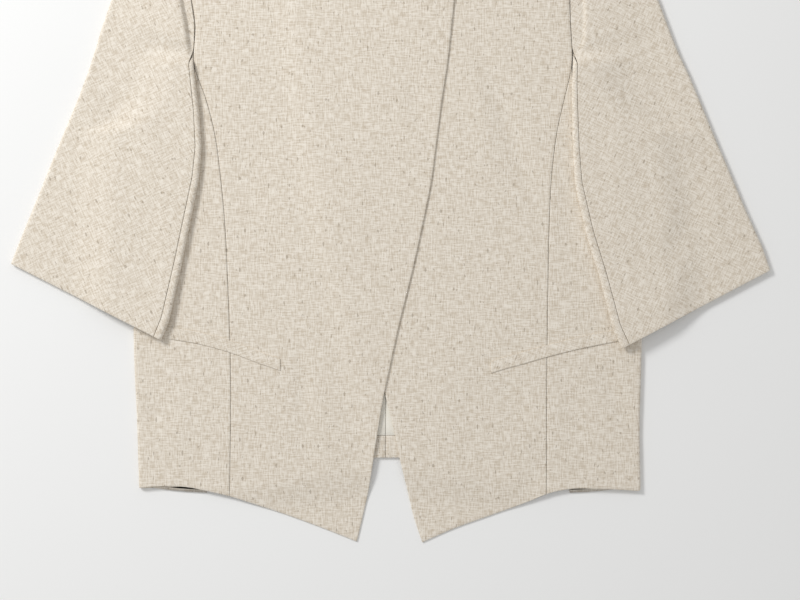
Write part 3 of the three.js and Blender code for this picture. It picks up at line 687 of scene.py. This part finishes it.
@dataclass
class Sleeve:
    """One two-piece sleeve laid flat and turned down over the body."""

    side: Side
    cloth: bpy.types.Material
    rows: int = 110

    def rest(self, x: np.ndarray, y: np.ndarray, lift: np.ndarray) -> np.ndarray:
        """Height of the lower layer: on the body, then down to the table."""
        c = CURVES[self.side]
        turn = np.arcsin(np.clip((PITCH - y) / (PITCH - UNDERARM), 0, 1))
        scoop = c["seam"](PITCH) + (c["fold"](UNDERARM) - c["seam"](PITCH)) * (1 - np.cos(turn))
        outline = np.where(y <= UNDERARM, c["fold"](y), np.where(y >= PITCH, c["seam"](y), scoop))
        beyond = np.abs(x) - outline
        on_body = (1 - soft((beyond - 17) / 45)) * (1 - soft((y - PITCH) / 20))
        return BACK_Z + (FRONT_Z + LAYER + lift - BACK_Z) * on_body

    def build(self) -> None:
        """Builds the top and under sleeves."""
        s, name = self.side.value, self.side.label
        table = np.array(SLEEVE[name], float)
        table[9:, 0] = CURVES[self.side]["seam"](table[9:, 1]) + 0.15
        t = np.linspace(0, len(table) - 1, self.rows)
        row = [np.interp(t, np.arange(len(table)), table[:, k])[:, None] for k in range(7)]
        inner_x, inner_y, outer_x, outer_y, lift, ridge, rise = row
        is_open = soft(t - 8)[:, None]
        width = np.hypot(outer_x - inner_x, outer_y - inner_y)

        def place(across: np.ndarray) -> tuple[np.ndarray, np.ndarray]:
            share = across / width
            return s * (inner_x + (outer_x - inner_x) * share), inner_y + (outer_y - inner_y) * share

        def low(across: np.ndarray) -> np.ndarray:
            x, y = place(across)
            return self.rest(x, y, lift) * (1 - is_open) + BACK_Z * is_open

        def high(across: np.ndarray) -> np.ndarray:
            x, y = place(across)
            gap = 4.8 - 1.0 * soft(across / 60)
            flat = low(across) + gap * (1 - is_open) + 3.8 * is_open
            seam = front_height(*place(0 * across))
            blend = soft(across / np.minimum(20, width / 2))
            start = flat * (1 - is_open) + (seam * (1 - blend) + flat * blend) * is_open
            roll = rise * soft((across - ridge + 2) / 4)
            roll = roll * (1 - soft((across - ridge - 2) / (width - ridge)))
            return start + roll * is_open + creased(f"top_sleeve_{name}", x, y)

        def lay(across: np.ndarray, z: np.ndarray) -> np.ndarray:
            x, y = place(across)
            return np.stack(np.broadcast_arrays(x, y, z), axis=-1)

        def fold_round(start: np.ndarray, outward: int) -> np.ndarray:
            upper, lower = high(start), low(start)
            radius = (upper - lower) / 2
            a = np.pi * np.linspace(0, 1, 9)[None]
            return lay(start + outward * radius * np.sin(a), lower + radius * (1 + np.cos(a)))

        first = 0.05 * width * (1 - is_open) + 0.15 * is_open
        turn = 2.65
        last = width - turn
        u = np.linspace(0, 1, 64)[None] ** 1.25
        across = first + (last - 1 - first) * u
        back_seam = width - np.minimum(28, 0.35 * width)
        under = last + (back_seam + 0.15 - last) * np.linspace(0.15, 1, 8)[None]
        grid = np.concatenate(
            [lay(across, high(across)), fold_round(last, 1), lay(under, low(under))], axis=1
        )
        piece = build_wall(f"cloth_top_sleeve_{name}", grid, CLOTH, self.cloth, turn=-s * 0.42)
        declare(piece, [f"top_sleeve_{name}"])

        turn_in = 3.15
        inner_end = turn_in * (1 - is_open) + 1.0 * is_open
        across = back_seam - 0.15 + (inner_end - back_seam + 0.15) * np.linspace(0, 1, 40)[None]
        flat = lay(across, low(across))
        closed = fold_round(turn_in + 0 * width, -1)[:, ::-1]
        rolled = lay(inner_end - 0.85 * np.linspace(0, 1, 9)[None], BACK_Z + 0 * width * np.ones((1, 9)))
        join = closed * (1 - is_open[..., None]) + rolled * is_open[..., None]
        end_at = first - 0.3 * (1 - is_open)
        tail = lay(end_at, high(end_at)) * (1 - is_open[..., None]) + rolled[:, -1:] * is_open[..., None]
        grid = np.concatenate([flat[:, :-1], join, tail], axis=1)
        piece = build_wall(f"cloth_under_sleeve_{name}", grid, CLOTH, self.cloth, turn=-s * 0.42)
        declare(piece, [f"under_sleeve_{name}"])


@dataclass
class Neck:
    """Lapels, collar and buttons, which keep the frame's own plain shapes."""

    cloth: bpy.types.Material
    button: bpy.types.Material

    def build(self) -> None:
        """Gives the frame's own lapels, collar and buttons their materials."""
        for node, material in (
            ("lapel_right", self.cloth),
            ("lapel_left", self.cloth),
            ("collar", self.cloth),
            ("button_right", self.button),
            ("button_left", self.button),
        ):
            piece = bpy.data.objects[node]
            piece.data.materials.clear()
            piece.data.materials.append(material)


@dataclass
class Studio:
    """A pale floor, soft light from the upper left and a camera straight above."""

    height: float = 1.9
    frame_width: float = 0.768
    centre: tuple[float, float] = (9.6, 180.5)

    def build(self) -> None:
        """Builds floor, lights and camera."""
        scene = bpy.context.scene
        scene.view_settings.view_transform = "Standard"
        mesh = bpy.data.meshes.new("floor")
        mesh.from_pydata([(-4, -4, 0), (4, -4, 0), (4, 4, 0), (-4, 4, 0)], [], [(0, 1, 2, 3)])
        floor = bpy.data.objects.new("floor", mesh)
        floor.location.z = -0.0002
        scene.collection.objects.link(floor)
        material = bpy.data.materials.new("pale_floor")
        material.use_nodes = True
        material.node_tree.nodes["Principled BSDF"].inputs["Base Color"].default_value = linear("#F4F4F3")
        material.node_tree.nodes["Principled BSDF"].inputs["Roughness"].default_value = 0.9
        mesh.materials.append(material)
        world = bpy.data.worlds.new("studio")
        world.use_nodes = True
        world.node_tree.nodes["Background"].inputs["Color"].default_value = (1, 1, 1, 1)
        world.node_tree.nodes["Background"].inputs["Strength"].default_value = 0.55
        scene.world = world
        lamp = bpy.data.lights.new("window", "AREA")
        lamp.shape = "DISK"
        lamp.size = 0.7
        lamp.energy = 34
        key = bpy.data.objects.new("window", lamp)
        key.location = (-1.5, 1.1, 1.5)
        key.rotation_euler = (-key.location).to_track_quat("-Z", "Y").to_euler()
        scene.collection.objects.link(key)
        lens = bpy.data.cameras.new("camera")
        lens.sensor_width = 36
        lens.lens = 36 * self.height / self.frame_width
        camera = bpy.data.objects.new("camera", lens)
        camera.location = (*((np.array(self.centre) + OFFSET[:2]) * MM), self.height)
        scene.collection.objects.link(camera)
        scene.camera = camera


def button_material() -> bpy.types.Material:
    """Makes the finish of the resin buttons: satin, with a faint cloud in its colour.

    Returns:
        The material.
    """
    material = bpy.data.materials.new("moulded_resin_button")
    material.use_nodes = True
    tree = material.node_tree
    where = add_node(tree, "ShaderNodeTexCoord")
    noise = add_node(
        tree,
        "ShaderNodeTexNoise",
        {"in:Scale": 180.0, "in:Detail": 3.0},
        {"Vector": where.outputs["Object"]},
    )
    ramp = add_node(tree, "ShaderNodeValToRGB", {}, {"Fac": noise.outputs["Fac"]})
    ramp.color_ramp.elements[0].color = linear("#B5A58C")
    ramp.color_ramp.elements[1].color = linear("#D3C7B2")
    shader = tree.nodes["Principled BSDF"]
    shader.inputs["Roughness"].default_value = 0.35
    tree.links.new(ramp.outputs[0], shader.inputs["Base Color"])
    return material


def main() -> None:
    """Builds the blazer and the studio."""
    global OFFSET
    logging.basicConfig(level=logging.INFO)
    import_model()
    OFFSET = frame_offset()
    Studio().build()
    cloth = WovenCloth().make()
    lining = WovenCloth("cream_lining", "#F4F0E6", "#E9E3D5", "#E9E3D5", 0.5 * MM, 6 * MM, 0.6, False).make()
    Body(cloth, lining).build()
    for side in Side:
        Sleeve(side, cloth).build()
    Neck(cloth, button_material()).build()


if __name__ == "__main__":
    main()
